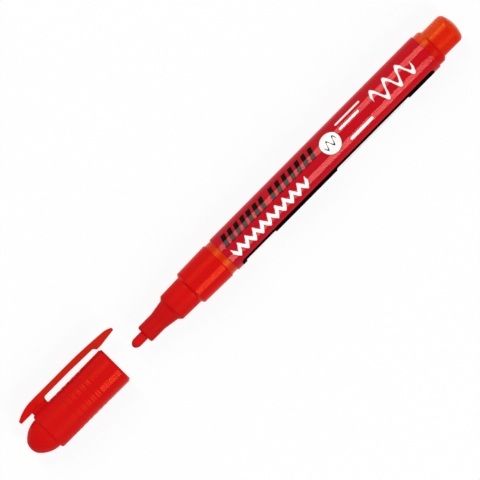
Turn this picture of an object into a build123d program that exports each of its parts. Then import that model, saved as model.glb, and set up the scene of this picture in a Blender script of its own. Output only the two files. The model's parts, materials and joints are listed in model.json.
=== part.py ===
import os
from math import cos, pi, sin, sqrt

from build123d import *

# Liquid chalk marker with a valve nib, its cap pulled off and lying in line with the nib.
# Millimetres. +X runs along the pen's axis from the nib to the tail, +Y points to the side of the
# cap's clip and +Z is up. The origin is on the axis at the middle of the printed sleeve.

# Fits shared by all pieces
press_gap = 0.02  # radial, between pieces that are pressed together
slide_gap = 0.06  # radial, between pieces that slide
cut_overrun = 1.0

# Barrel and printed sleeve
sleeve_length = 82.0
sleeve_d = 12.0
sleeve_film = 0.15
neck_step = 0.23  # radial step from under the sleeve down to the bare ends
bare_front = 2.1
bare_rear = 2.9
barrel_wall = 1.1  # at the bare ends
barrel_rear_slope = 0.8  # length of the sloping shoulder before the tail
barrel_rear_lip = 0.25  # what is left of the step at its foot

# Nose, from the barrel forwards
grip_length = 11.2
grip_rear_d = 11.9
grip_front_d = 11.4
grip_rear_round = 0.35
step_round = 0.25  # on the front corners of the grip and of the seat
stop_length = 0.7  # sloping stop that the cap's mouth meets
seat_length = 7.15
seat_d = 9.5  # at the stop, also the diameter of the posting stub
seat_front_d = 9.15
seat_lead_length = 1.0
cone_length = 4.55
cone_rear_d = 7.2
tip_length = 5.5
tip_d = 5.72
tip_round = 0.7
spigot_length = 9.0
spigot_wall = 0.75
valve_bore_depth = 16.9

# Nib and the fibre sleeve round it
nib_d = 2.9
nib_exposed = 4.7
nib_bullet_length = 1.9
buffer_d = 6.6
buffer_end_gap = 0.3

# Valve
housing_wall = 0.75
housing_tail = 5.1  # length behind the nose's spigot
flange_thickness = 1.0
front_bore_length = 9.3
orifice_length = 1.5
cup_wall = 0.85
cup_depth = 4.0
cup_floor = 1.0
cup_setback = 0.4
cup_passage = 0.15  # radial room for ink past the cup
stem_d = 2.2
head_overlap = 0.3  # radial, head over orifice
head_rim = 0.9
seat_gap = 0.05
nib_travel = 1.8
cage_thickness = 1.3
cage_plug_length = 1.4
cage_plug_wall = 0.5
port_count = 4
port_d = 0.9
spring_wire_d = 0.45
spring_mean_d = 4.0
spring_turns = 7

# Mixing ball
ball_d = 5.0
ball_stop_gap = 0.5
ball_rest_share = 0.6  # of its way from the valve to the tail

# Tail
plug_length = 6.0
plug_wall = 1.3
stub_length = 8.45
stub_crown = 1.3
stub_round = 1.6
stub_end_wall = 2.6

# Cap
cap_off_gap = 6.95  # from the cap's mouth to the nib's tip
cap_stop_gap = 0.1  # left between mouth and stop when the cap is on
cap_wall = 1.38
ledge_width = 0.38
cap_rear_wall = 0.88
mouth_bevel = 0.75  # length of the bevel round the mouth
mouth_lip = 0.9  # flat rim left inside that bevel
cap_rear_round = 0.7
end_plug_length = 2.7
end_plug_wall = 1.2
dome_length = 6.75
dome_shoulder_length = 3.1
dome_shoulder_d = 9.0
dome_tip_d = 4.2
dome_tip_length = 0.55
dome_hollow_depth = 3.8
dome_hollow_d = 5.4
groove_count = 6
groove_pitch = 1.9
groove_start = 8.9  # from the mouth to the first groove
groove_width = 1.3
groove_depth = 0.07

# Soft seal inside the cap
seal_standoff = 0.6  # from the nose's cone when the cap is on
seal_wall = 0.8
seal_end_wall = 0.9
seal_flange = 1.2
nib_room = 1.0

# Clip
clip_width = 4.0
clip_thickness = 1.86
clip_gap = 1.7
clip_overhang = 6.5  # past the cap's mouth
clip_curve_length = 10.8  # from the mouth back to where the arm starts to curve
clip_tip_width = 1.5
clip_tip_round = 0.42
clip_edge_round = 0.3
clip_pad_gap = 0.5  # between the clip's pad and the shell
clip_pad_length = 1.7
clip_pad_slope = 0.75
clip_pad_round = 0.4
root_inset = 0.7  # from the shell's rear end
root_length = 5.5
root_width = 3.6
tail_length = 4.4
tail_flat = 2.3  # straight stretch of its top, from the knuckle
tail_drop = 1.8
tail_thickness = 1.0  # at its end
tail_round = 0.4
knuckle_gap = 0.03
clip_nose_start_share = 0.6  # of the overhang, where the arm's nose turns down
clip_nose_drop_share = 0.37  # of the thickness, how far the arm has curved in by then
clip_tip_drop_share = 0.85  # of the thickness, how far the top has dropped at the very tip
clip_under_share = 0.28  # of the thickness, how far the underside lies lower at the tip
clip_pinch_share = 0.14  # of the thickness, how far the underside closes in before the pad

# Radii and stations along X
sleeve_r = sleeve_d / 2
body_r = sleeve_r - sleeve_film - press_gap
neck_r = body_r - neck_step
bore_r = neck_r - barrel_wall
sleeve_end = sleeve_length / 2
barrel_front = -sleeve_end - bare_front
barrel_rear = sleeve_end + bare_rear

stop_front = barrel_front - grip_length - stop_length
seat_front = stop_front - seat_length
cone_rear = seat_front - seat_lead_length
tip_rear = cone_rear - cone_length
tip_front = tip_rear - tip_length
nib_tip = tip_front - nib_exposed
spigot_rear = barrel_front + spigot_length
spigot_r = bore_r - press_gap
valve_bore_r = spigot_r - spigot_wall
valve_shoulder = spigot_rear - valve_bore_depth
nib_r = nib_d / 2
nib_bore_r = nib_r + slide_gap
buffer_r = buffer_d / 2

housing_r = valve_bore_r - press_gap
chamber_r = housing_r - housing_wall
housing_rear = spigot_rear + housing_tail
nib_socket_r = nib_r + press_gap
cup_r = nib_socket_r + cup_wall
orifice_r = cup_r + cup_passage
stem_r = stem_d / 2
head_r = orifice_r + head_overlap
orifice_front = valve_shoulder + front_bore_length
orifice_rear = orifice_front + orifice_length
cup_front = valve_shoulder + cup_setback
nib_rear = cup_front + cup_depth
cup_rear = nib_rear + cup_floor
head_front = orifice_rear + seat_gap - (orifice_r - stem_r)
head_edge = orifice_rear + seat_gap + head_overlap
head_rear = head_edge + head_rim
guide_rear = housing_rear + cage_thickness / 2
cage_rear = housing_rear + cage_thickness

plug_front = barrel_rear - plug_length
plug_r = bore_r - press_gap
stub_r = seat_d / 2
stub_end = barrel_rear + stub_length

socket_r = seat_d / 2 + slide_gap
mouth_r = socket_r + cap_wall
rear_bore_r = socket_r + ledge_width
cap_rear_r = rear_bore_r + cap_rear_wall
cap_mouth = nib_tip - cap_off_gap
bevel_rear = cap_mouth - mouth_bevel
cap_travel = stop_front - cap_stop_gap - cap_mouth
nose_reach = stop_front - nib_tip
seal_mouth = cap_mouth - (stop_front - tip_rear) - seal_standoff
seal_bore_end = cap_mouth - nose_reach - nib_room
seal_end = seal_bore_end - seal_end_wall
ledge = seal_end + seal_flange
shell_rear = seal_end - end_plug_length
dome_end = shell_rear - dome_length
seal_bore_r = tip_d / 2 + slide_gap
seal_r = seal_bore_r + seal_wall
flange_r = rear_bore_r - press_gap

arm_under = mouth_r + clip_gap
arm_top = arm_under + clip_thickness
knuckle_r = clip_thickness / 2
knuckle_y = arm_under + knuckle_r
root_rear = shell_rear + root_inset
root_front = root_rear + root_length
knuckle_x = root_front - knuckle_r
tail_end = root_rear - tail_length


def outline_face(points):
    with BuildSketch(Plane.XY) as face:
        with BuildLine():
            Polyline(*points, close=True)
        make_face()
    return face.sketch


# Barrel: one tube with a raised middle that carries the sleeve
with BuildPart() as barrel:
    revolve(
        outline_face(
            [
                (barrel_front, bore_r),
                (barrel_front, neck_r),
                (-sleeve_end, neck_r),
                (-sleeve_end + neck_step, body_r),
                (sleeve_end - neck_step, body_r),
                (sleeve_end, neck_r),
                (barrel_rear - barrel_rear_slope, neck_r),
                (barrel_rear, stub_r + barrel_rear_lip),
                (barrel_rear, bore_r),
            ]
        ),
        axis=Axis.X,
    )
barrel.part.label = "barrel"

# Printed film, shrunk over the raised middle and down its sloping ends
with BuildPart() as barrel_sleeve:
    inner_r = body_r + press_gap
    low_r = neck_r + press_gap
    revolve(
        outline_face(
            [
                (-sleeve_end, low_r),
                (-sleeve_end, low_r + sleeve_film),
                (-sleeve_end + neck_step, sleeve_r),
                (sleeve_end - neck_step, sleeve_r),
                (sleeve_end, low_r + sleeve_film),
                (sleeve_end, low_r),
                (sleeve_end - neck_step, inner_r),
                (-sleeve_end + neck_step, inner_r),
            ]
        ),
        axis=Axis.X,
    )
barrel_sleeve.part.label = "barrel_sleeve"

# Nose: grip, cap stop, cap seat, cone and tip, with a spigot into the barrel
with BuildPart() as nose:
    revolve(
        outline_face(
            [
                (tip_front, nib_bore_r),
                (tip_front, tip_d / 2),
                (tip_rear, tip_d / 2),
                (cone_rear, cone_rear_d / 2),
                (seat_front, seat_front_d / 2),
                (stop_front, seat_d / 2),
                (stop_front + stop_length, grip_front_d / 2),
                (barrel_front, grip_rear_d / 2),
                (barrel_front, spigot_r),
                (spigot_rear, spigot_r),
                (spigot_rear, valve_bore_r),
                (valve_shoulder, valve_bore_r),
                (valve_shoulder, buffer_r + press_gap),
                (seat_front, buffer_r + press_gap),
                (seat_front, nib_bore_r),
            ]
        ),
        axis=Axis.X,
    )
    tip_edges = nose.edges().group_by(Axis.X)[0]
    fillet(tip_edges.sort_by(SortBy.RADIUS)[-1], tip_round)
    grip_edge = nose.edges().filter_by(GeomType.CIRCLE).sort_by(SortBy.RADIUS)[-1]
    fillet(grip_edge, grip_rear_round)
    for corner in (seat_front, stop_front + stop_length):
        corner_edges = nose.edges().filter_by_position(Axis.X, corner, corner)
        fillet(corner_edges.sort_by(SortBy.RADIUS)[-1], step_round)
nose.part.label = "nose"

# Nib: fibre rod with a bullet end
with BuildPart() as nib:
    with BuildSketch(Plane.XY):
        with BuildLine():
            bullet_rear = nib_tip + nib_bullet_length
            EllipticalCenterArc(
                (bullet_rear, 0), nib_bullet_length, nib_r, start_angle=90, arc_size=90
            )
            Polyline((nib_tip, 0), (nib_rear, 0), (nib_rear, nib_r), (bullet_rear, nib_r))
        make_face()
    revolve(axis=Axis.X)
nib.part.label = "nib"

# Fibre sleeve round the nib, in the nose's front chamber
with BuildPart() as ink_buffer:
    buffer_rear = valve_shoulder - buffer_end_gap
    revolve(
        outline_face(
            [
                (seat_front, nib_bore_r),
                (seat_front, buffer_r),
                (buffer_rear, buffer_r),
                (buffer_rear, nib_bore_r),
            ]
        ),
        axis=Axis.X,
    )
ink_buffer.part.label = "ink_buffer"

# Valve housing: a tube with the valve seat in it, held by its flange behind the spigot
with BuildPart() as valve_housing:
    flange_rear = spigot_rear + flange_thickness
    housing_flange_r = bore_r - slide_gap
    revolve(
        outline_face(
            [
                (valve_shoulder, chamber_r),
                (valve_shoulder, housing_r),
                (spigot_rear, housing_r),
                (spigot_rear, housing_flange_r),
                (flange_rear, housing_flange_r),
                (flange_rear, housing_r),
                (housing_rear, housing_r),
                (housing_rear, chamber_r),
                (orifice_rear + chamber_r - orifice_r, chamber_r),
                (orifice_rear, orifice_r),
                (orifice_front, orifice_r),
                (orifice_front, chamber_r),
            ]
        ),
        axis=Axis.X,
    )
valve_housing.part.label = "valve_housing"

# Plunger: a cup for the nib's end, a stem, the valve's head and a guide pin in one
with BuildPart() as valve_plunger:
    revolve(
        outline_face(
            [
                (cup_front, nib_socket_r),
                (cup_front, cup_r),
                (cup_rear, cup_r),
                (cup_rear, stem_r),
                (head_front, stem_r),
                (head_edge, head_r),
                (head_rear, head_r),
                (head_rear, stem_r),
                (guide_rear, stem_r),
                (guide_rear, 0),
                (nib_rear, 0),
                (nib_rear, nib_socket_r),
            ]
        ),
        axis=Axis.X,
    )
valve_plunger.part.label = "valve_plunger"

# Cage: closes the housing, guides the plunger's pin and lets ink in through its ports
with BuildPart() as valve_cage:
    guide_r = stem_r + slide_gap
    cage_plug_r = chamber_r - press_gap
    cage_plug_bore_r = cage_plug_r - cage_plug_wall
    revolve(
        outline_face(
            [
                (housing_rear - cage_plug_length, cage_plug_bore_r),
                (housing_rear - cage_plug_length, cage_plug_r),
                (housing_rear, cage_plug_r),
                (housing_rear, housing_r),
                (cage_rear, housing_r),
                (cage_rear, guide_r),
                (housing_rear, guide_r),
                (housing_rear, cage_plug_bore_r),
            ]
        ),
        axis=Axis.X,
    )
    with BuildSketch(Plane.YZ.offset(cage_rear)):
        with PolarLocations((guide_r + cage_plug_bore_r) / 2, port_count):
            Circle(port_d / 2)
    extrude(amount=-cage_thickness - cut_overrun, mode=Mode.SUBTRACT)
valve_cage.part.label = "valve_cage"

# Spring: one wire wound from the plunger's head to the cage, on arcs of about an eighth turn
spring_front = head_rear + press_gap + spring_wire_d / 2
spring_rear = housing_rear - press_gap - spring_wire_d / 2
spring_r = spring_mean_d / 2
spring_pitch = (spring_rear - spring_front) / spring_turns


def spring_point(turn):
    angle = 2 * pi * turn
    return Vector(spring_front + spring_pitch * turn, spring_r * cos(angle), spring_r * sin(angle))


def spring_direction(turn):
    angle = 2 * pi * turn
    run = 2 * pi * spring_r
    return Vector(spring_pitch, -run * sin(angle), run * cos(angle)).normalized()


def biarc_joint(start, start_way, end, end_way):
    chord = end - start
    ways = start_way + end_way
    spread = 2 * (1 - start_way.dot(end_way))
    along = chord.dot(ways)
    reach = (sqrt(along**2 + spread * chord.dot(chord)) - along) / spread
    near = start + start_way * reach
    far = end - end_way * reach
    return (near + far) / 2, (far - near).normalized()


quarter_turns = [step / 4 for step in range(4 * spring_turns + 1)]
with BuildPart() as valve_spring:
    with BuildLine() as spring_path:
        for first, last in zip(quarter_turns, quarter_turns[1:]):
            start, start_way = spring_point(first), spring_direction(first)
            end, end_way = spring_point(last), spring_direction(last)
            joint, joint_way = biarc_joint(start, start_way, end, end_way)
            TangentArc(start, joint, tangent=start_way)
            TangentArc(joint, end, tangent=joint_way)
    with BuildSketch(Plane(spring_point(0), z_dir=spring_direction(0))):
        Circle(spring_wire_d / 2)
    sweep(path=spring_path.line)
valve_spring.part.label = "valve_spring"

points_per_turn = 24
wire_points = [
    spring_point(step / points_per_turn) for step in range(points_per_turn * spring_turns + 1)
]
turn_gaps = [
    (near - far).length - spring_wire_d
    for index, near in enumerate(wire_points)
    for far in wire_points[index + points_per_turn // 2 :]
]
print(f"spring: least gap to itself {min(turn_gaps):.2f} mm")

# Mixing ball, lying on the bottom of the bore
ball_r = ball_d / 2
ball_first = cage_rear + nib_travel + ball_stop_gap + ball_r
ball_last = plug_front - ball_stop_gap - ball_r
ball_x = ball_first + ball_rest_share * (ball_last - ball_first)
with BuildPart(Plane((ball_x, 0, ball_r + slide_gap - bore_r))) as mixing_ball:
    Sphere(ball_r)
mixing_ball.part.label = "mixing_ball"

# Tail plug: hollow plug with the stub on which the cap is posted
with BuildPart() as tail_plug:
    with BuildSketch(Plane.XY):
        with BuildLine():
            crown_edge = stub_end - stub_crown
            TangentArc((stub_end, 0), (crown_edge, stub_r), tangent=(0, 1))
            Polyline(
                (crown_edge, stub_r),
                (barrel_rear, stub_r),
                (barrel_rear, plug_r),
                (plug_front, plug_r),
                (plug_front, plug_r - plug_wall),
                (stub_end - stub_end_wall, plug_r - plug_wall),
                (stub_end - stub_end_wall, 0),
                (stub_end, 0),
            )
        make_face()
    revolve(axis=Axis.X)
    crown_rim = tail_plug.edges().filter_by(lambda edge: edge.is_closed).sort_by(Axis.X)[-1]
    fillet(crown_rim, stub_round)
tail_plug.part.label = "tail_plug"

# Root of the clip and its short tail over the cap's end, one moulding with the shell
with BuildPart() as clip_root:
    with BuildSketch(Plane.XY) as tail_side:
        with BuildLine():
            tail_top = (tail_end, arm_top - tail_drop)
            tail_bottom = (tail_end, arm_top - tail_drop - tail_thickness)
            tail_bend = (knuckle_x - tail_flat, arm_top)
            TangentArc(tail_bend, tail_top, tangent=(-1, 0))
            Polyline(
                tail_top,
                tail_bottom,
                (root_rear, tail_bottom[1]),
                (knuckle_x, arm_under),
                (knuckle_x, arm_top),
                tail_bend,
            )
        make_face()
        fillet(tail_side.vertices().group_by(Axis.X)[0], tail_round)
        with Locations((knuckle_x, knuckle_y)):
            Circle(knuckle_r + knuckle_gap, mode=Mode.SUBTRACT)
    extrude(amount=clip_width / 2, both=True)
    outer_rims = clip_root.edges().filter_by(Axis.Z, reverse=True)
    fillet(outer_rims.filter_by(lambda edge: edge.center().X < knuckle_x - knuckle_r), clip_edge_round)

# Cap shell: open tube with grip grooves, a ledge inside for the seal's flange, and the clip's root
with BuildPart() as cap_shell:
    revolve(
        outline_face(
            [
                (cap_mouth, socket_r),
                (cap_mouth, socket_r + mouth_lip),
                (bevel_rear, mouth_r),
                (shell_rear, cap_rear_r),
                (shell_rear, rear_bore_r),
                (ledge, rear_bore_r),
                (ledge, socket_r),
            ]
        ),
        axis=Axis.X,
    )
    end_edges = cap_shell.edges().group_by(Axis.X)[0]
    fillet(end_edges.sort_by(SortBy.RADIUS)[-1], cap_rear_round)
    taper = (mouth_r - cap_rear_r) / (bevel_rear - shell_rear)
    groove_r = ((groove_width / 2) ** 2 + groove_depth**2) / (2 * groove_depth)
    for groove in range(groove_count):
        groove_x = cap_mouth - groove_start - groove * groove_pitch
        groove_floor_r = mouth_r - taper * (bevel_rear - groove_x) - groove_depth
        with BuildSketch(Plane.XY):
            with Locations((groove_x, groove_floor_r + groove_r)):
                Circle(groove_r)
        revolve(axis=Axis.X, mode=Mode.SUBTRACT)
    with BuildSketch(Plane.XY):
        with BuildLine():
            buried = (rear_bore_r + cap_rear_r) / 2
            Polyline(
                (root_rear, buried),
                (root_front, buried),
                (root_front, arm_under),
                (root_rear, arm_under),
                close=True,
            )
        make_face()
        with Locations((knuckle_x, knuckle_y)):
            Circle(knuckle_r + knuckle_gap, mode=Mode.SUBTRACT)
    extrude(amount=root_width / 2, both=True)
    add(clip_root.part)
cap_shell.part.label = "cap_shell"

# Cap's end: a hollow dome pressed into the shell
with BuildPart() as cap_end_plug:
    with BuildSketch(Plane.XY):
        with BuildLine():
            dome_r = rear_bore_r - press_gap
            dome_shoulder = (shell_rear - dome_shoulder_length, dome_shoulder_d / 2)
            dome_brow = (dome_end + dome_tip_length, dome_tip_d / 2)
            ThreePointArc((shell_rear, dome_r), dome_shoulder, dome_brow)
            TangentArc((dome_end, 0), dome_brow, tangent=(0, 1))
            Polyline(
                (dome_end, 0),
                (shell_rear - dome_hollow_depth, 0),
                (shell_rear - dome_hollow_depth, dome_hollow_d / 2),
                (shell_rear, dome_r - end_plug_wall),
                (seal_end, dome_r - end_plug_wall),
                (seal_end, dome_r),
                (shell_rear, dome_r),
            )
        make_face()
    revolve(axis=Axis.X)
cap_end_plug.part.label = "cap_end_plug"

# Soft seal: a cup that closes over the nose's tip, with a flange held between ledge and end plug
with BuildPart() as cap_inner_seal:
    revolve(
        outline_face(
            [
                (seal_mouth, seal_bore_r),
                (seal_mouth, seal_r),
                (ledge, seal_r),
                (ledge, flange_r),
                (seal_end, flange_r),
                (seal_end, 0),
                (seal_bore_end, 0),
                (seal_bore_end, seal_bore_r),
            ]
        ),
        axis=Axis.X,
    )
cap_inner_seal.part.label = "cap_inner_seal"

# Clip arm: curved bar with a pad under its nose and a round knuckle that turns in the root
with BuildPart() as cap_clip:
    with BuildSketch(Plane.XY) as arm_side:
        with BuildLine():
            curve_start = (cap_mouth - clip_curve_length, arm_top)
            nose_start = (
                cap_mouth + clip_nose_start_share * clip_overhang,
                arm_top - clip_nose_drop_share * clip_thickness,
            )
            tip = (cap_mouth + clip_overhang, arm_top - clip_tip_drop_share * clip_thickness)
            pad_y = mouth_r + clip_pad_gap
            pad_rear = cap_mouth - clip_pad_length / 2
            pinch_y = arm_under - clip_pinch_share * clip_thickness
            Line((knuckle_x, arm_top), curve_start)
            curve = TangentArc(curve_start, nose_start, tangent=(1, 0))
            TangentArc(nose_start, tip, tangent=curve % 1)
            Polyline(
                tip,
                (cap_mouth + clip_overhang, arm_under - clip_under_share * clip_thickness),
                (pad_rear + clip_pad_length, pad_y),
                (pad_rear, pad_y),
                (pad_rear - clip_pad_slope, pinch_y),
                (curve_start[0], arm_under),
                (knuckle_x, arm_under),
            )
            ThreePointArc(
                (knuckle_x, arm_under), (knuckle_x - knuckle_r, knuckle_y), (knuckle_x, arm_top)
            )
        make_face()
        pad_corners = arm_side.vertices().filter_by_position(
            Axis.X, curve_start[0], nose_start[0], inclusive=(False, False)
        )
        fillet(pad_corners, clip_pad_round)
        fillet(arm_side.vertices().group_by(Axis.X)[-1], clip_tip_round)
    extrude(amount=clip_width / 2, both=True)
    with BuildSketch(Plane.XZ):
        with BuildLine():
            side_z = clip_width / 2
            tip_z = clip_tip_width / 2
            arm_rear = knuckle_x - knuckle_r - cut_overrun
            plan_end = cap_mouth + clip_overhang + cut_overrun
            Polyline(
                (cap_mouth, side_z), (arm_rear, side_z), (arm_rear, -side_z), (cap_mouth, -side_z)
            )
            TangentArc((cap_mouth, side_z), (plan_end, tip_z), tangent=(1, 0))
            Line((plan_end, tip_z), (plan_end, -tip_z))
            TangentArc((cap_mouth, -side_z), (plan_end, -tip_z), tangent=(1, 0))
        make_face()
    extrude(amount=-arm_top - cut_overrun, mode=Mode.INTERSECT)
    rims = cap_clip.edges().filter_by(Axis.Z, reverse=True)
    fillet(rims.filter_by(lambda edge: edge.center().X > knuckle_x), clip_edge_round)
cap_clip.part.label = "cap_clip"

os.makedirs("parts", exist_ok=True)
export_step(barrel.part, "parts/barrel.step")
export_step(barrel_sleeve.part, "parts/barrel_sleeve.step")
export_step(nose.part, "parts/nose.step")
export_step(nib.part, "parts/nib.step")
export_step(ink_buffer.part, "parts/ink_buffer.step")
export_step(valve_housing.part, "parts/valve_housing.step")
export_step(valve_plunger.part, "parts/valve_plunger.step")
export_step(valve_cage.part, "parts/valve_cage.step")
export_step(valve_spring.part, "parts/valve_spring.step")
export_step(mixing_ball.part, "parts/mixing_ball.step")
export_step(tail_plug.part, "parts/tail_plug.step")
export_step(cap_shell.part, "parts/cap_shell.step")
export_step(cap_end_plug.part, "parts/cap_end_plug.step")
export_step(cap_inner_seal.part, "parts/cap_inner_seal.step")
export_step(cap_clip.part, "parts/cap_clip.step")

print(f"pen {stub_end - nib_tip:.2f} mm long, capped {stub_end - dome_end - cap_travel:.2f} mm")
print(f"cap travel {cap_travel:.3f} mm, mouth at {cap_mouth:.3f}, radius {mouth_r:.3f}")
print(f"clip hinge at {knuckle_x:.3f}, {knuckle_y:.3f}")
print(f"ball at {ball_x:.3f}, way {ball_first - ball_x:.3f} to {ball_last - ball_x:.3f}")
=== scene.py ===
import json
import math

import bpy
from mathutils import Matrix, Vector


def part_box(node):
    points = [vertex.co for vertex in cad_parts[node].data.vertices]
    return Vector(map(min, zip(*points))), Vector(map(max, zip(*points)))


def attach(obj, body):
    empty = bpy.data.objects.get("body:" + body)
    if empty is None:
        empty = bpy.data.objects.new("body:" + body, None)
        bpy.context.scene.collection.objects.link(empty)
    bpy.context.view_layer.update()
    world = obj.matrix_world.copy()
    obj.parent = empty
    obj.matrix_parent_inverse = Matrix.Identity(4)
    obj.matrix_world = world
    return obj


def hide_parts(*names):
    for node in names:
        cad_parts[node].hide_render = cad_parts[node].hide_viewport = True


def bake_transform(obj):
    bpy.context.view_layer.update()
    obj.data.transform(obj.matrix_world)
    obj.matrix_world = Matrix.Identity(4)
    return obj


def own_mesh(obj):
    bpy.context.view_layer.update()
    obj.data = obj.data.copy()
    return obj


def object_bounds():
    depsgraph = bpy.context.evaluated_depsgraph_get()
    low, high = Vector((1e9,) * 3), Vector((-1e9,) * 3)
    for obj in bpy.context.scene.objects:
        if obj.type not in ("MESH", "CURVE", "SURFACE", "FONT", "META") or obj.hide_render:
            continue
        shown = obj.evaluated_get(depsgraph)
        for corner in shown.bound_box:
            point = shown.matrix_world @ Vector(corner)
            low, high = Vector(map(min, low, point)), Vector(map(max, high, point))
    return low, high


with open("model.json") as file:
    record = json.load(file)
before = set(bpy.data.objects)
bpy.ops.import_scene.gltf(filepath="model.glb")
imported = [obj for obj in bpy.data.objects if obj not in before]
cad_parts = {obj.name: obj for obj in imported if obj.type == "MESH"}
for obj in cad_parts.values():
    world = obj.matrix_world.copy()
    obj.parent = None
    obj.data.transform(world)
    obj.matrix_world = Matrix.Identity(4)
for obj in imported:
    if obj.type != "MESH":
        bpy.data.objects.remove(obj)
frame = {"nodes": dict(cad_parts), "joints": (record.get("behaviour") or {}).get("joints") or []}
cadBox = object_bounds()
nodes = frame["nodes"]
joints = {joint["name"]: joint for joint in frame["joints"]}
mm = 0.001
mergeMm = 0.0005         # corners of a CAD shape that are this near are joined
turnedMergeMm = 0.001    # and corners of a turned one
nearMm = 0.01            # a corner this near to a plane is on it
smoothAngle = 30.0       # degrees; sharper edges stay sharp
print("frame loaded:", len(nodes), "nodes")


def linear(hexColour):  # sRGB hex to the linear colour that sockets take
    parts = [int(hexColour[i:i + 2], 16) / 255 for i in (1, 3, 5)]
    return [p / 12.92 if p <= 0.04045 else ((p + 0.055) / 1.055) ** 2.4 for p in parts] + [1.0]


def addNode(tree, kind, settings={}, links={}):  # one node, its settings, and values or links for its inputs
    node = tree.nodes.new(kind)
    for name, value in settings.items():
        setattr(node, name, value)
    for socket, value in links.items():
        if isinstance(value, bpy.types.NodeSocket):
            tree.links.new(value, node.inputs[socket])
        else:
            node.inputs[socket].default_value = value
    return node


def newMaterial(name):
    material = bpy.data.materials.new(name)
    material.use_nodes = True
    material.node_tree.nodes.clear()
    return material, material.node_tree


def closeMaterial(tree, shader):
    addNode(tree, "ShaderNodeOutputMaterial", {}, {"Surface": shader.outputs[0]})


# Red polypropylene, injection moulded: even opaque red with a soft satin streak under a lamp,
# a little deeper where the melt flowed, over the fine grain of a spark-finished mould
redPlastic = {
    "colour": "#D40F12",
    "flowColour": "#CC0E12",
    "tipShadeColour": "#C21015",      # painted shade, deeper on the cone and the tip
    "clipGlowColour": "#C82014",     # painted light: warmer in the clip, as if light came through the thin plastic
    "flowMm": 9.0,
    "flowDetail": 2.0,
    "grainMm": 0.35,
    "grainDetail": 3.0,
    "grainDepthMm": 0.001,
    "grainStrength": 0.6,
    "roughness": 0.16,           # of the grip and the cap's mouth, where the mould is polished
    "coarseRoughness": 0.50,     # of the rest
    "roughnessSpread": 0.03,
    "tipMm": (-66.0, -58.0),     # stations between which each change comes, along the pen
    "gripMm": (-56.0, -54.6),
    "mouthMm": (-107.0, -92.0),
    "capFromMm": -80.0,
    "clipMm": (6.6, 7.4),        # out from the cap's axis
    "armMm": (-109.0, -105.0),   # from the clip's root to its free arm
    "ior": 1.49,
    "specular": 0.042,
    "gleam": "#FFF068",          # colour of the gloss
    "metallic": 0.026,           # tints the streak red
}


def makeRedPlastic(look):
    material, tree = newMaterial("red polypropylene, moulded satin")
    place = addNode(tree, "ShaderNodeTexCoord").outputs["Object"]
    flow = addNode(tree, "ShaderNodeTexNoise", {}, {
        "Vector": place, "Scale": 1 / (look["flowMm"] * mm), "Detail": look["flowDetail"]})
    grain = addNode(tree, "ShaderNodeTexNoise", {}, {
        "Vector": place, "Scale": 1 / (look["grainMm"] * mm), "Detail": look["grainDetail"]})
    colour = addNode(tree, "ShaderNodeMix", {"data_type": "RGBA"}, {
        "Factor": flow.outputs["Fac"], "A": linear(look["colour"]), "B": linear(look["flowColour"])})
    spot = addNode(tree, "ShaderNodeSeparateXYZ", {}, {"Vector": place})
    capped = addNode(tree, "ShaderNodeMath", {"operation": "LESS_THAN"}, {
        0: spot.outputs["X"], 1: look["capFromMm"] * mm})
    # painted shade: the cone and the tip are coloured a deeper red
    tip = addNode(tree, "ShaderNodeMapRange", {}, {
        "Value": spot.outputs["X"],
        "From Min": look["tipMm"][1] * mm, "From Max": look["tipMm"][0] * mm})
    tip = addNode(tree, "ShaderNodeMath", {"operation": "SUBTRACT", "use_clamp": True}, {
        0: tip.outputs["Result"], 1: capped.outputs[0]})
    colour = addNode(tree, "ShaderNodeMix", {"data_type": "RGBA"}, {
        "Factor": tip.outputs[0], "A": colour.outputs["Result"], "B": linear(look["tipShadeColour"])})
    # painted light: the clip is coloured warmer, as if lit through
    clipGlow = addNode(tree, "ShaderNodeMapRange", {}, {
        "Value": spot.outputs["Y"],
        "From Min": look["clipMm"][0] * mm, "From Max": look["clipMm"][1] * mm})
    arm = addNode(tree, "ShaderNodeMapRange", {}, {
        "Value": spot.outputs["X"],
        "From Min": look["armMm"][0] * mm, "From Max": look["armMm"][1] * mm})
    clipGlow = addNode(tree, "ShaderNodeMath", {"operation": "MULTIPLY"}, {
        0: clipGlow.outputs["Result"], 1: arm.outputs["Result"]})
    colour = addNode(tree, "ShaderNodeMix", {"data_type": "RGBA"}, {
        "Factor": clipGlow.outputs[0], "A": colour.outputs["Result"], "B": linear(look["clipGlowColour"])})
    grip = addNode(tree, "ShaderNodeMapRange", {}, {
        "Value": spot.outputs["X"],
        "From Min": look["gripMm"][0] * mm, "From Max": look["gripMm"][1] * mm,
        "To Min": look["coarseRoughness"], "To Max": look["roughness"]})
    mouth = addNode(tree, "ShaderNodeMapRange", {}, {
        "Value": spot.outputs["X"],
        "From Min": look["mouthMm"][0] * mm, "From Max": look["mouthMm"][1] * mm,
        "To Min": look["coarseRoughness"], "To Max": look["roughness"]})
    rough = addNode(tree, "ShaderNodeMix", {"data_type": "FLOAT"}, {
        0: capped.outputs[0], 2: grip.outputs["Result"], 3: mouth.outputs["Result"]})
    grainy = addNode(tree, "ShaderNodeMapRange", {}, {
        "Value": grain.outputs["Fac"],
        "To Min": -look["roughnessSpread"] / 2, "To Max": look["roughnessSpread"] / 2})
    rough = addNode(tree, "ShaderNodeMath", {"operation": "ADD"}, {
        0: rough.outputs[0], 1: grainy.outputs["Result"]})
    bump = addNode(tree, "ShaderNodeBump", {}, {
        "Height": grain.outputs["Fac"],
        "Distance": look["grainDepthMm"] * mm, "Strength": look["grainStrength"]})
    shader = addNode(tree, "ShaderNodeBsdfPrincipled", {}, {
        "Base Color": colour.outputs["Result"],
        "Roughness": rough.outputs[0],
        "Metallic": look["metallic"],
        "IOR": look["ior"],
        "Specular IOR Level": look["specular"],
        "Specular Tint": linear(look["gleam"]),
        "Normal": bump.outputs["Normal"]})
    closeMaterial(tree, shader)
    return material
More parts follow.
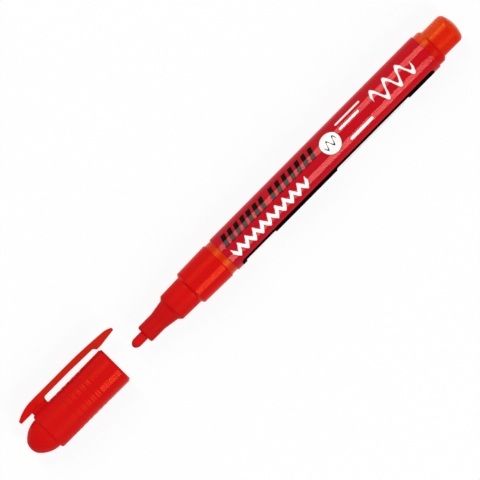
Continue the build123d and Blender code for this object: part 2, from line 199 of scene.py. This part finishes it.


# Translucent polypropylene, moulded: orange; painted light makes the tail more orange on the clip's side and
# at its rounded end, and painted shade makes it redder on the far side and over the plug's shank there
barrelPlastic = {
    "colour": "#EC2A04",
    "deepColour": "#E01E06",
    "tailShadeColour": "#D8240E",      # painted shade: redder at the tail, on the side away from the clip
    "tailLitColour": "#EE440C",     # painted light: more orange on the clip's side
    "turnMm": (0.4, 4.0),        # across the pen, where one passes into the other
    "crownMm": (49.8, 52.0),     # along it, where the painted light reaches all round the rounded end
    "ringShadeColour": "#CC120E",     # painted shade: deeper red on the barrel's own end there, over the plug's shank, away from the clip
    "ringMm": 43.8,              # where it ends
    "roughness": (0.30, 0.20),   # at the front band and at the tail
    "endsMm": (-41.0, 41.0),     # where the bare ends begin
    "cloudMm": 2.5,
    "cloudDetail": 2.0,
    "cloudDepthMm": 0.01,
    "cloudStrength": 0.5,
    "through": (0.18, 0.0),      # of most of it, and of the tail away from the clip
    "scatter": 0.5,
    "scatterMm": 1.2,
    "scatterReach": (1.0, 0.35, 0.12),   # of red, green and blue
    "ior": 1.49,
    "specular": (0.10, 0.12),    # at the front band and at the tail
    "dullBy": 0.10,              # taken off the gloss of the tail away from the clip
    "gleam": "#FFF070",          # colour of the gloss, which takes up some of the orange
    "metallic": 0.01,
}


def makeBarrelPlastic(look):
    material, tree = newMaterial("translucent orange polypropylene")
    place = addNode(tree, "ShaderNodeTexCoord").outputs["Object"]
    cloud = addNode(tree, "ShaderNodeTexNoise", {}, {
        "Vector": place, "Scale": 1 / (look["cloudMm"] * mm), "Detail": look["cloudDetail"]})
    colour = addNode(tree, "ShaderNodeMix", {"data_type": "RGBA"}, {
        "Factor": cloud.outputs["Fac"], "A": linear(look["colour"]), "B": linear(look["deepColour"])})
    spot = addNode(tree, "ShaderNodeSeparateXYZ", {}, {"Vector": place})
    # painted light and shade: the tail is coloured more orange towards the clip's side and at its rounded
    # end, redder away from it
    lit = addNode(tree, "ShaderNodeMapRange", {"interpolation_type": "SMOOTHSTEP"}, {
        "Value": spot.outputs["Y"],
        "From Min": look["turnMm"][0] * mm, "From Max": look["turnMm"][1] * mm})
    crown = addNode(tree, "ShaderNodeMapRange", {}, {
        "Value": spot.outputs["X"],
        "From Min": look["crownMm"][0] * mm, "From Max": look["crownMm"][1] * mm})
    lit = addNode(tree, "ShaderNodeMath", {"operation": "MAXIMUM"}, {
        0: lit.outputs["Result"], 1: crown.outputs["Result"]})
    tail = addNode(tree, "ShaderNodeMix", {"data_type": "RGBA"}, {
        "Factor": lit.outputs[0], "A": linear(look["tailShadeColour"]), "B": linear(look["tailLitColour"])})
    # painted shade: the barrel's end over the plug's shank is coloured deeper red on the side away from the
    # clip
    ring = addNode(tree, "ShaderNodeMath", {"operation": "LESS_THAN"}, {
        0: spot.outputs["X"], 1: look["ringMm"] * mm})
    ring = addNode(tree, "ShaderNodeMath", {"operation": "SUBTRACT", "use_clamp": True}, {
        0: ring.outputs[0], 1: lit.outputs[0]})
    tail = addNode(tree, "ShaderNodeMix", {"data_type": "RGBA"}, {
        "Factor": ring.outputs[0], "A": tail.outputs["Result"], "B": linear(look["ringShadeColour"])})
    atTail = addNode(tree, "ShaderNodeMath", {"operation": "GREATER_THAN"}, {0: spot.outputs["X"], 1: 0.0})
    colour = addNode(tree, "ShaderNodeMix", {"data_type": "RGBA"}, {
        "Factor": atTail.outputs[0], "A": colour.outputs["Result"], "B": tail.outputs["Result"]})
    rough = addNode(tree, "ShaderNodeMapRange", {}, {
        "Value": spot.outputs["X"],
        "From Min": look["endsMm"][0] * mm, "From Max": look["endsMm"][1] * mm,
        "To Min": look["roughness"][0], "To Max": look["roughness"][1]})
    gloss = addNode(tree, "ShaderNodeMapRange", {}, {
        "Value": spot.outputs["X"],
        "From Min": look["endsMm"][0] * mm, "From Max": look["endsMm"][1] * mm,
        "To Min": look["specular"][0], "To Max": look["specular"][1]})
    dull = addNode(tree, "ShaderNodeMath", {"operation": "SUBTRACT", "use_clamp": True}, {
        0: atTail.outputs[0], 1: lit.outputs[0]})
    gloss = addNode(tree, "ShaderNodeMath", {"operation": "MULTIPLY_ADD"}, {
        0: dull.outputs[0], 1: -look["dullBy"], 2: gloss.outputs["Result"]})
    through = addNode(tree, "ShaderNodeMapRange", {}, {
        "Value": dull.outputs[0], "To Min": look["through"][0], "To Max": look["through"][1]})
    bump = addNode(tree, "ShaderNodeBump", {}, {
        "Height": cloud.outputs["Fac"],
        "Distance": look["cloudDepthMm"] * mm, "Strength": look["cloudStrength"]})
    shader = addNode(tree, "ShaderNodeBsdfPrincipled", {}, {
        "Base Color": colour.outputs["Result"],
        "Roughness": rough.outputs["Result"],
        "Metallic": look["metallic"],
        "IOR": look["ior"],
        "Specular IOR Level": gloss.outputs[0],
        "Specular Tint": linear(look["gleam"]),
        "Transmission Weight": through.outputs["Result"],
        "Subsurface Weight": look["scatter"],
        "Subsurface Scale": look["scatterMm"] * mm,
        "Subsurface Radius": look["scatterReach"],
        "Normal": bump.outputs["Normal"]})
    closeMaterial(tree, shader)
    return material


# Printed shrink film: crimson ink under a clear gloss that shows the lamps as crisp streaks
sleeveFilm = {
    "colour": "#C40919",
    "frontColour": "#BA0C22",    # the red is a little colder towards the nib
    "roughness": 0.06,
    "ior": 1.5,
    "specular": 0.066,
    "mattSpecular": 0.0,         # over the black panel, whose ink is left matt
    "gleam": "#FFF4E2",
    "metallic": 0.016,
    "rippleMm": 12.0,            # the film's slow waves over the barrel
    "rippleDetail": 1.0,
    "rippleDepthMm": 0.005,
    "radiusMm": 6.0,
    "lengthMm": 82.0,
    "softMm": 0.06,              # edge of the ink
    "wobbleMm": 1.6,             # the hand-drawn strokes waver over this far
    "wobbleDetail": 2.0,
    "wobbleDepthMm": 0.35,       # and by this much
}
inks = {"black": "#050404", "white": "#FAF8F4", "grey": "#8F8B87"}
# Places on the unrolled film in mm: u along the pen from its middle, v round it from the top towards -Y.
# Boxes have half sizes and a corner radius; strokes run along u as leaning bars, a zigzag or a wave.
filmPrint = [
    {"form": "box", "ink": "black", "u": -0.15, "v": 11.6, "half": (38.75, 5.9), "corner": 1.2, "matt": True},
    {"form": "box", "ink": "white", "u": -31.5, "v": 10.65, "half": (5.9, 3.5), "corner": 0.6},
    {"form": "box", "ink": "white", "u": 13.7, "v": 10.65, "half": (14.6, 3.5), "corner": 0.6},
    {"form": "hatch", "ink": "black", "u": -30.4, "v": -2.95, "half": (8.75, 2.05), "corner": 0.4,
     "step": 2.5, "stroke": 1.6, "lean": 0.28},
    {"form": "hatch", "ink": "black", "u": -11.0, "v": -2.95, "half": (9.27, 2.05), "corner": 0.4,
     "step": 2.65, "stroke": 1.6, "lean": 0.28},
    {"form": "zigzag", "ink": "white", "u": -24.0, "v": 2.1, "half": (14.9, 1.85), "corner": 0.4,
     "step": 3.0, "stroke": 0.95, "height": 2.4},
    {"form": "box", "ink": "black", "u": 2.86, "v": -1.0, "half": (3.45, 3.45), "corner": 3.45},
    {"form": "box", "ink": "white", "u": 2.86, "v": -1.0, "half": (3.27, 3.27), "corner": 3.27},
    {"form": "wave", "ink": "black", "u": 2.86, "v": -1.0, "half": (2.3, 2.4), "corner": 0.2,
     "step": 2.3, "stroke": 0.3, "height": 2.2},
    {"form": "box", "ink": "white", "u": 12.3, "v": -3.9, "half": (4.9, 0.32), "corner": 0.3},
    {"form": "box", "ink": "white", "u": 11.3, "v": -1.9, "half": (3.9, 0.32), "corner": 0.3},
    {"form": "box", "ink": "white", "u": 12.3, "v": 2.5, "half": (4.4, 0.42), "corner": 0.3},
    {"form": "wave", "ink": "white", "u": 27.7, "v": -0.9, "half": (7.6, 3.6), "corner": 0.4,
     "step": 5.1, "stroke": 0.75, "height": 4.6},
]
ruling = {"lines": 5, "firstMm": 8.2, "stepMm": 1.1}   # on the longer white panel
filmPrint += [
    {"form": "box", "ink": "grey", "u": 13.7, "v": ruling["firstMm"] + ruling["stepMm"] * line,
     "half": (12.6, 0.13), "corner": 0.1}
    for line in range(ruling["lines"])
]


def printMask(tree, flat, mark, look):  # how much ink of one mark covers a point of the unrolled film
    reach = addNode(tree, "ShaderNodeVectorMath", {"operation": "SUBTRACT"}, {
        0: flat, 1: (mark["u"], mark["v"], 0)})
    parts = addNode(tree, "ShaderNodeSeparateXYZ", {}, {"Vector": reach.outputs[0]})
    if mark["form"] == "hatch":  # its ends lean with its bars
        leaning = addNode(tree, "ShaderNodeMath", {"operation": "MULTIPLY_ADD"}, {
            0: parts.outputs["Y"], 1: mark["lean"], 2: parts.outputs["X"]})
        reach = addNode(tree, "ShaderNodeCombineXYZ", {}, {
            "X": leaning.outputs[0], "Y": parts.outputs["Y"]})
    flatSide = addNode(tree, "ShaderNodeVectorMath", {"operation": "ABSOLUTE"}, {0: reach.outputs[0]})
    past = addNode(tree, "ShaderNodeVectorMath", {"operation": "SUBTRACT"}, {
        0: flatSide.outputs[0],
        1: (mark["half"][0] - mark["corner"], mark["half"][1] - mark["corner"], 0)})
    past = addNode(tree, "ShaderNodeVectorMath", {"operation": "MAXIMUM"}, {0: past.outputs[0], 1: (0, 0, 0)})
    away = addNode(tree, "ShaderNodeVectorMath", {"operation": "LENGTH"}, {0: past.outputs[0]})
    inside = addNode(tree, "ShaderNodeMapRange", {}, {
        "Value": away.outputs["Value"],
        "From Min": mark["corner"] + look["softMm"], "From Max": mark["corner"] - look["softMm"]})
    if mark["form"] == "box":
        return inside.outputs["Result"]
    if mark["form"] == "hatch":
        swing = addNode(tree, "ShaderNodeMath", {"operation": "PINGPONG"}, {
            0: leaning.outputs[0], 1: mark["step"] / 2})
    elif mark["form"] == "zigzag":
        swing = addNode(tree, "ShaderNodeMath", {"operation": "PINGPONG"}, {
            0: parts.outputs["X"], 1: mark["step"] / 2})
        swing = addNode(tree, "ShaderNodeMath", {"operation": "MULTIPLY_ADD"}, {
            0: swing.outputs[0], 1: 2 * mark["height"] / mark["step"], 2: -mark["height"] / 2})
    else:
        swing = addNode(tree, "ShaderNodeMath", {"operation": "MULTIPLY"}, {
            0: parts.outputs["X"], 1: 2 * math.pi / mark["step"]})
        swing = addNode(tree, "ShaderNodeMath", {"operation": "SINE"}, {0: swing.outputs[0]})
        swing = addNode(tree, "ShaderNodeMath", {"operation": "MULTIPLY"}, {
            0: swing.outputs[0], 1: mark["height"] / 2})
    slope = 0.0
    if mark["form"] != "hatch":  # the width of a stroke is measured across its slope
        slope = 2 * mark["height"] / mark["step"]
        swing = addNode(tree, "ShaderNodeMath", {"operation": "SUBTRACT"}, {
            0: parts.outputs["Y"], 1: swing.outputs[0]})
    gap = addNode(tree, "ShaderNodeMath", {"operation": "ABSOLUTE"}, {0: swing.outputs[0]})
    half = mark["stroke"] / 2 * math.sqrt(1 + slope ** 2)
    soft = look["softMm"] * math.sqrt(1 + slope ** 2)
    line = addNode(tree, "ShaderNodeMapRange", {}, {
        "Value": gap.outputs[0], "From Min": half + soft, "From Max": half - soft})
    both = addNode(tree, "ShaderNodeMath", {"operation": "MULTIPLY"}, {
        0: inside.outputs["Result"], 1: line.outputs["Result"]})
    return both.outputs[0]


def makeSleeveFilm(look, marks):
    material, tree = newMaterial("printed shrink film, gloss")
    place = addNode(tree, "ShaderNodeTexCoord").outputs["Object"]
    spot = addNode(tree, "ShaderNodeSeparateXYZ", {}, {"Vector": place})
    across = addNode(tree, "ShaderNodeMath", {"operation": "MULTIPLY"}, {0: spot.outputs["Y"], 1: -1.0})
    turn = addNode(tree, "ShaderNodeMath", {"operation": "ARCTAN2"}, {
        0: across.outputs[0], 1: spot.outputs["Z"]})
    around = addNode(tree, "ShaderNodeMath", {"operation": "MULTIPLY"}, {
        0: turn.outputs[0], 1: look["radiusMm"]})
    along = addNode(tree, "ShaderNodeMath", {"operation": "DIVIDE"}, {0: spot.outputs["X"], 1: mm})
    flat = addNode(tree, "ShaderNodeCombineXYZ", {}, {"X": along.outputs[0], "Y": around.outputs[0]})
    wobble = addNode(tree, "ShaderNodeTexNoise", {}, {
        "Vector": flat.outputs[0], "Scale": 1 / look["wobbleMm"], "Detail": look["wobbleDetail"]})
    wobble = addNode(tree, "ShaderNodeVectorMath", {"operation": "SUBTRACT"}, {
        0: wobble.outputs["Color"], 1: (0.5, 0.5, 0.5)})
    byHand = addNode(tree, "ShaderNodeVectorMath", {"operation": "MULTIPLY_ADD"}, {
        0: wobble.outputs[0], 1: (look["wobbleDepthMm"],) * 3, 2: flat.outputs[0]})
    lead = addNode(tree, "ShaderNodeMapRange", {}, {
        "Value": along.outputs[0],
        "From Min": -look["lengthMm"] / 2, "From Max": look["lengthMm"] / 2})
    colour = addNode(tree, "ShaderNodeMix", {"data_type": "RGBA"}, {
        "Factor": lead.outputs["Result"], "A": linear(look["frontColour"]), "B": linear(look["colour"])})
    gloss = addNode(tree, "ShaderNodeValue")
    gloss.outputs[0].default_value = look["specular"]
    for mark in marks:
        drawn = flat if mark["form"] == "box" else byHand
        mask = printMask(tree, drawn.outputs[0], mark, look)
        colour = addNode(tree, "ShaderNodeMix", {"data_type": "RGBA"}, {
            "Factor": mask, "A": colour.outputs["Result"], "B": linear(inks[mark["ink"]])})
        if "matt" in mark:
            gloss = addNode(tree, "ShaderNodeMix", {"data_type": "FLOAT"}, {
                0: mask, 2: gloss.outputs[0], 3: look["mattSpecular"]})
    ripple = addNode(tree, "ShaderNodeTexNoise", {}, {
        "Vector": place, "Scale": 1 / (look["rippleMm"] * mm), "Detail": look["rippleDetail"]})
    bump = addNode(tree, "ShaderNodeBump", {}, {
        "Height": ripple.outputs["Fac"], "Distance": look["rippleDepthMm"] * mm})
    shader = addNode(tree, "ShaderNodeBsdfPrincipled", {}, {
        "Base Color": colour.outputs["Result"],
        "Roughness": look["roughness"],
        "Metallic": look["metallic"],
        "IOR": look["ior"],
        "Specular IOR Level": gloss.outputs[0],
        "Specular Tint": linear(look["gleam"]),
        "Normal": bump.outputs["Normal"]})
    closeMaterial(tree, shader)
    return material


# The pieces inside and the nib: each a grain of two colours, drawn out along the pen in fibres
innerGrain = {"detail": 3.0, "scatterMm": 1.0}   # the same in all of them
innerLooks = {
    "nib_fibre": {  # acrylic fibres bonded into a rod and ground to a point: matt, soaked with red ink
        "name": "bonded acrylic fibre, soaked red", "colours": ("#DC1818", "#C81214"),
        "grainMm": (6.0, 0.22, 0.22), "roughness": (0.65, 0.85), "depthMm": 0.03,
        "specular": 0.05, "metallic": 0.0, "subsurface": 0.0},
    "buffer_fibre": {  # polyester tow: softer and paler, stained from the nib's side
        "name": "polyester fibre tow, stained", "colours": ("#CC4A44", "#B32A28"),
        "grainMm": (8.0, 0.3, 0.3), "roughness": (0.8, 0.95), "depthMm": 0.06,
        "specular": 0.1, "metallic": 0.0, "subsurface": 0.0},
    "valve_plastic": {  # natural acetal, moulded: smooth milky white, faint flow clouds
        "name": "natural acetal, moulded", "colours": ("#ECE9E1", "#E2DED3"),
        "grainMm": (3.0, 3.0, 3.0), "roughness": (0.3, 0.4), "depthMm": 0.004,
        "specular": 0.5, "metallic": 0.0, "subsurface": 0.15},
    "spring_steel": {  # stainless wire, cold drawn: bright, with fine lines
        "name": "stainless spring wire, drawn", "colours": ("#C2C3C6", "#A9ABB0"),
        "grainMm": (0.25, 0.25, 0.25), "roughness": (0.18, 0.32), "depthMm": 0.002,
        "specular": 0.5, "metallic": 1.0, "subsurface": 0.0},
    "ball_steel": {  # bearing steel, ground and polished: a mirror with faint scuffs from rolling
        "name": "bearing steel, polished", "colours": ("#CFCFD2", "#BFC0C4"),
        "grainMm": (0.8, 0.8, 0.8), "roughness": (0.06, 0.18), "depthMm": 0.001,
        "specular": 0.5, "metallic": 1.0, "subsurface": 0.0},
    "seal_plastic": {  # low-density polyethylene, moulded: waxy and milky
        "name": "soft polyethylene, waxy", "colours": ("#E6E1D6", "#D8D2C4"),
        "grainMm": (2.0, 2.0, 2.0), "roughness": (0.42, 0.55), "depthMm": 0.006,
        "specular": 0.4, "metallic": 0.0, "subsurface": 0.3},
}


def makeGrained(look, grainLook):
    material, tree = newMaterial(look["name"])
    place = addNode(tree, "ShaderNodeTexCoord").outputs["Object"]
    drawn = addNode(tree, "ShaderNodeMapping", {}, {
        "Vector": place, "Scale": [1 / (size * mm) for size in look["grainMm"]]})
    grain = addNode(tree, "ShaderNodeTexNoise", {}, {
        "Vector": drawn.outputs["Vector"], "Scale": 1.0, "Detail": grainLook["detail"]})
    colour = addNode(tree, "ShaderNodeMix", {"data_type": "RGBA"}, {
        "Factor": grain.outputs["Fac"],
        "A": linear(look["colours"][0]), "B": linear(look["colours"][1])})
    rough = addNode(tree, "ShaderNodeMapRange", {}, {
        "Value": grain.outputs["Fac"], "To Min": look["roughness"][0], "To Max": look["roughness"][1]})
    bump = addNode(tree, "ShaderNodeBump", {}, {
        "Height": grain.outputs["Fac"], "Distance": look["depthMm"] * mm})
    shader = addNode(tree, "ShaderNodeBsdfPrincipled", {}, {
        "Base Color": colour.outputs["Result"],
        "Roughness": rough.outputs["Result"],
        "Metallic": look["metallic"],
        "Specular IOR Level": look["specular"],
        "Subsurface Weight": look["subsurface"],
        "Subsurface Scale": grainLook["scatterMm"] * mm,
        "Normal": bump.outputs["Normal"]})
    closeMaterial(tree, shader)
    return material


finishes = {name: makeGrained(look, innerGrain) for name, look in innerLooks.items()}
finishes["red_plastic"] = makeRedPlastic(redPlastic)
finishes["barrel_plastic"] = makeBarrelPlastic(barrelPlastic)
finishes["sleeve_film"] = makeSleeveFilm(sleeveFilm, filmPrint)
for name, node in nodes.items():
    slotName = node.material_slots[0].material.name
    node.material_slots[0].material = finishes[slotName]
print("finishes made:", len(finishes))


def makeTurned(name, outline, sides, fill):  # a ring drawn out along X through stations of place and radius
    bpy.ops.object.select_all(action="DESELECT")
    along, radius = outline[0]
    bpy.ops.mesh.primitive_circle_add(
        vertices=sides, radius=radius, fill_type=fill, location=(along, 0, 0), rotation=(0, math.pi / 2, 0))
    bpy.ops.object.transform_apply(location=True, rotation=True, scale=True)
    piece = bpy.context.active_object
    piece.name = name
    bpy.ops.object.mode_set(mode="EDIT")
    bpy.ops.mesh.select_all(action="SELECT")
    for nextAlong, nextRadius in outline[1:]:
        bpy.ops.mesh.extrude_region_move(TRANSFORM_OT_translate={"value": (nextAlong - along, 0, 0)})
        bpy.ops.transform.resize(value=(1, nextRadius / radius, nextRadius / radius))
        along, radius = nextAlong, nextRadius
    bpy.ops.mesh.select_all(action="SELECT")
    bpy.ops.mesh.remove_doubles(threshold=turnedMergeMm * mm)
    bpy.ops.mesh.normals_make_consistent(inside=False)
    bpy.ops.object.mode_set(mode="OBJECT")
    return piece


def choose(piece, chosen):  # selects the vertices that chosen says, in edit mode
    bpy.ops.object.mode_set(mode="EDIT")
    bpy.ops.mesh.select_mode(type="VERT")
    bpy.ops.mesh.select_all(action="DESELECT")
    bpy.ops.object.mode_set(mode="OBJECT")
    for vertex in piece.data.vertices:
        vertex.select = chosen(vertex.co)
    bpy.ops.object.mode_set(mode="EDIT")


def fatten(piece, chosen, lift):  # moves the vertices that chosen says out along their normals
    choose(piece, chosen)
    bpy.ops.transform.shrink_fatten(value=lift)
    bpy.ops.object.mode_set(mode="OBJECT")


def turnOf(place):  # degrees round the pen from the top towards -Y
    return math.degrees(math.atan2(-place.y, place.z))


# The printed film, shrunk on the barrel: a thin tube turned in over both ends, lapped and bonded at the back
shrinkFilm = {
    "wallMm": 0.15,
    "turnInMm": 0.12,
    "sides": 144,
    "rings": 24,
    "lapTurns": (-143.0, -115.0),   # in degrees, as turnOf measures them
    "lapLiftMm": 0.05,
    "puckerMm": 0.003,              # at the ends, where the film shrank most
    "puckerSizeMm": 1.1,
    "puckerReachMm": 2.4,
}


def makeShrinkFilm(look):
    low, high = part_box("barrel_sleeve")
    wall, turnIn, radius = look["wallMm"] * mm, look["turnInMm"] * mm, high.z
    straight = high.x - turnIn
    reach = look["puckerReachMm"] * mm
    places = [-straight, -straight + reach / 4, -straight + reach / 2]
    step = 2 * (straight - reach) / look["rings"]
    places += [-straight + reach + step * i for i in range(look["rings"] + 1)]
    places += [straight - reach / 2, straight - reach / 4, straight]
    outline = [(low.x, radius - turnIn)] + [(place, radius) for place in places]
    outline += [(high.x, radius - turnIn), (high.x, radius - turnIn - wall), (straight, radius - wall)]
    outline += [(-straight, radius - wall), (low.x, radius - turnIn - wall), (low.x, radius - turnIn)]
    film = makeTurned("printed_film", outline, look["sides"], "NOTHING")
    outside = [v.index for v in film.data.vertices if math.hypot(v.co.y, v.co.z) > radius - wall / 2]
    ends = film.vertex_groups.new(name="ends")
    for index in outside:
        depth = (straight - abs(film.data.vertices[index].co.x)) / reach
        ends.add([index], max(0.0, 1 - depth), "REPLACE")
    first, last = look["lapTurns"]
    fatten(film, lambda co: first < turnOf(co) < last and math.hypot(co.y, co.z) > radius - wall / 2,
           look["lapLiftMm"] * mm)
    crumple = bpy.data.textures.new("crumple", "CLOUDS")
    crumple.noise_scale = look["puckerSizeMm"] * mm
    pucker = film.modifiers.new("pucker", "DISPLACE")
    pucker.texture = crumple
    pucker.vertex_group = "ends"
    pucker.strength = look["puckerMm"] * mm
    pucker.mid_level = 1.0  # inwards only
    bpy.ops.object.modifier_apply(modifier="pucker")
    bpy.ops.object.shade_smooth_by_angle(angle=math.radians(smoothAngle))
    film.data.materials.append(finishes["sleeve_film"])
    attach(film, "pen")
    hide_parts("barrel_sleeve")


# The nib: a rod of bonded fibres, ground to a bullet in front, with the fibres as fine lengthwise ridges
fibreNib = {
    "bulletMm": 1.9,
    "bulletRings": 9,
    "flatMm": 0.16,        # radius of the worn point
    "rearBevelMm": 0.2,
    "fibres": 36,
    "ridgeMm": 0.025,
    "smoothAngle": 50.0,   # degrees, so that the ridges are shaded smooth
}


def makeFibreNib(look):
    low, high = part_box("nib")
    radius, bevel, bullet = high.z, look["rearBevelMm"] * mm, look["bulletMm"] * mm
    outline = [(high.x, radius - bevel), (high.x - bevel, radius)]
    for i in range(look["bulletRings"]):
        turn = math.radians(90) * i / look["bulletRings"]
        outline.append((low.x + bullet * (1 - math.sin(turn)), radius * math.cos(turn)))
    outline.append((low.x, look["flatMm"] * mm))
    nib = makeTurned("fibre_nib", outline, 2 * look["fibres"], "NGON")
    step = 360 / (2 * look["fibres"])
    fatten(nib, lambda co: round(turnOf(co) / step) % 2 == 1, -look["ridgeMm"] * mm)
    bpy.ops.object.shade_smooth_by_angle(angle=math.radians(look["smoothAngle"]))
    nib.data.materials.append(finishes["nib_fibre"])
    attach(nib, "nib_set")
    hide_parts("nib")


def copyOf(node, name):  # a piece that begins as a CAD node's shape, its triangles joined
    piece = bpy.data.objects.new(name, nodes[node].data.copy())
    bpy.context.scene.collection.objects.link(piece)
    bpy.ops.object.select_all(action="DESELECT")
    piece.select_set(True)
    bpy.context.view_layer.objects.active = piece
    choose(piece, lambda co: True)
    bpy.ops.mesh.remove_doubles(threshold=mergeMm * mm)
    bpy.ops.object.mode_set(mode="OBJECT")
    bpy.ops.mesh.customdata_custom_splitnormals_clear()
    bpy.ops.object.shade_smooth_by_angle(angle=math.radians(smoothAngle))
    return piece


# The clip's arm, moulded in one with the cap: it runs on into its root, over the seam
mouldedClip = {
    "rootMm": 1.2,              # how far it runs on
    "swell": 1.02,              # of the part in the root, so that it covers the seam
    "bendMm": (-2.2, 2.6),      # from the hinge to where the bend begins and ends
    "cornerMm": {1.75: 0.0, 1.4: 0.05, 1.15: 0.17, 0.98: 0.4, 0.86: 0.65},  # from the hinge: drop below
}


def makeMouldedClip(look):
    clip = copyOf("cap_clip", "moulded_clip")
    hinge = joints["clip_flex"]["pos_m"]
    corner, near = look["cornerMm"], nearMm * mm
    for along, drop in corner.items():  # rounds the corner between the arm and its root
        place = hinge[0] + along * mm
        choose(clip, lambda co: True)
        bpy.ops.mesh.bisect(plane_co=(place, 0, 0), plane_no=(1, 0, 0))
        choose(clip, lambda co: abs(co.x - place) < near and co.y < hinge[1])
        bpy.ops.transform.translate(value=(0, -drop * mm, 0))
        bpy.ops.object.mode_set(mode="OBJECT")
    innermost, deepest = hinge[0] + min(corner) * mm, max(corner.values()) * mm
    choose(clip, lambda co: co.x < hinge[0] + near)
    bpy.ops.transform.translate(value=(-look["rootMm"] * mm, 0, 0))
    choose(clip, lambda co: co.x < hinge[0] and co.y < hinge[1])
    bpy.ops.transform.translate(value=(0, -deepest, 0))
    choose(clip, lambda co: co.x < innermost + near)
    bpy.ops.transform.resize(value=(1, look["swell"], look["swell"]), center_override=hinge)
    bpy.ops.object.mode_set(mode="OBJECT")
    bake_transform(clip)
    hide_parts("cap_clip")


def makeCoilSpring():  # stays on the cage
    spring = copyOf("valve_spring", "coil_spring")
    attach(spring, "pen")
    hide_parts("valve_spring")
    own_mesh(spring)


makeShrinkFilm(shrinkFilm)
makeFibreNib(fibreNib)
makeMouldedClip(mouldedClip)
makeCoilSpring()
print("film, nib, clip and spring made")

# Floor, lamps and camera
stageLook = {
    "floorColour": "#F4F4F4",
    "floorSize": 14.0,
    "shadowShare": 0.10,     # how much of the floor's brightness to the camera is real light, and so shadow
    "worldStrength": 0.45,
    "lampDistance": 2.0,
}
softboxes = {  # tilt from straight up towards +Y and width, in degrees, the ends along X, radiance
    "keySide": (-46.0, 33.5, -0.116, 0.166, 18.8),
    "clipSide": (37.5, 31.0, -0.012, 0.24, 17.0),
    "fillSide": (62.0, 56.0, -1.2, 1.0, 0.5),
}


def seenRays(tree):  # 1 for the camera and for what mirrors or lets through what it sees
    light = addNode(tree, "ShaderNodeLightPath")
    seen = addNode(tree, "ShaderNodeMath", {"operation": "MAXIMUM"}, {
        0: light.outputs["Is Camera Ray"], 1: light.outputs["Is Glossy Ray"]})
    seen = addNode(tree, "ShaderNodeMath", {"operation": "MAXIMUM"}, {
        0: seen.outputs[0], 1: light.outputs["Is Transmission Ray"]})
    return seen.outputs[0]


def makeFloor(look, height):
    bpy.ops.object.select_all(action="DESELECT")
    bpy.ops.mesh.primitive_plane_add(size=look["floorSize"], location=(0, 0, height))
    bpy.ops.object.transform_apply(location=True, rotation=True, scale=True)
    floor = bpy.context.active_object
    floor.name = "floor"
    material, tree = newMaterial("pale studio paper")
    seen = seenRays(tree)
    paper = addNode(tree, "ShaderNodeBsdfDiffuse", {}, {"Color": linear(look["floorColour"])})
    white = addNode(tree, "ShaderNodeEmission", {}, {"Strength": 1.0})
    share = addNode(tree, "ShaderNodeMath", {"operation": "MULTIPLY"}, {
        0: seen, 1: 1 - look["shadowShare"]})
    shader = addNode(tree, "ShaderNodeMixShader", {}, {
        0: share.outputs[0], 1: paper.outputs[0], 2: white.outputs[0]})
    closeMaterial(tree, shader)
    floor.data.materials.append(material)


def makeWorld(look):  # white where it is seen or mirrored, dimmer as a light
    world = bpy.data.worlds.new("studio")
    bpy.context.scene.world = world
    world.use_nodes = True
    tree = world.node_tree
    tree.nodes.clear()
    strength = addNode(tree, "ShaderNodeMapRange", {}, {
        "Value": seenRays(tree), "To Min": look["worldStrength"], "To Max": 1.0})
    sky = addNode(tree, "ShaderNodeBackground", {}, {"Strength": strength.outputs["Result"]})
    addNode(tree, "ShaderNodeOutputWorld", {}, {"Surface": sky.outputs[0]})


def makeLamps(look, boxes):
    away = look["lampDistance"]
    for name, (tilt, width, first, last, strength) in boxes.items():
        turn = math.radians(tilt)
        place = ((first + last) / 2, away * math.sin(turn), away * math.cos(turn))
        bpy.ops.object.light_add(type="AREA", location=place, rotation=(-turn, 0, 0))
        lamp = bpy.context.active_object
        lamp.name = name
        lamp.data.shape = "RECTANGLE"
        lamp.data.size = last - first
        lamp.data.size_y = 2 * away * math.tan(math.radians(width / 2))
        lamp.data.energy = strength * math.pi * lamp.data.size * lamp.data.size_y
        lamp.visible_camera = False


shot = {
    "aim": (-0.03471, -0.00023),   # what the middle of the photo shows
    "roll": -45.19,
    "tilt": 1.30,                  # degrees from straight down, from the cap's side
    "distance": 2.0,
    "width": 0.13714,              # what the frame spans at the pen's axis
    "sensor": 36.0,
    "sees": 30.0,                  # how far the camera sees
}


def makeCamera(look):
    tilt = math.radians(look["tilt"])
    back = look["distance"] * math.sin(tilt)
    place = (look["aim"][0] - back, look["aim"][1], look["distance"] * math.cos(tilt))
    bpy.ops.object.camera_add(location=place)
    camera = bpy.context.active_object
    camera.rotation_mode = "ZYX"   # rolls first, then tilts
    camera.rotation_euler = (0, -tilt, math.radians(look["roll"]))
    camera.data.sensor_width = look["sensor"]
    camera.data.lens = look["sensor"] * look["distance"] / look["width"]
    camera.data.clip_end = look["sees"]
    bpy.context.scene.camera = camera


floorHeight = cadBox[0].z
makeFloor(stageLook, floorHeight)
makeWorld(stageLook)
makeLamps(stageLook, softboxes)
makeCamera(shot)
bpy.context.scene.view_settings.view_transform = "Standard"
print("stage made")
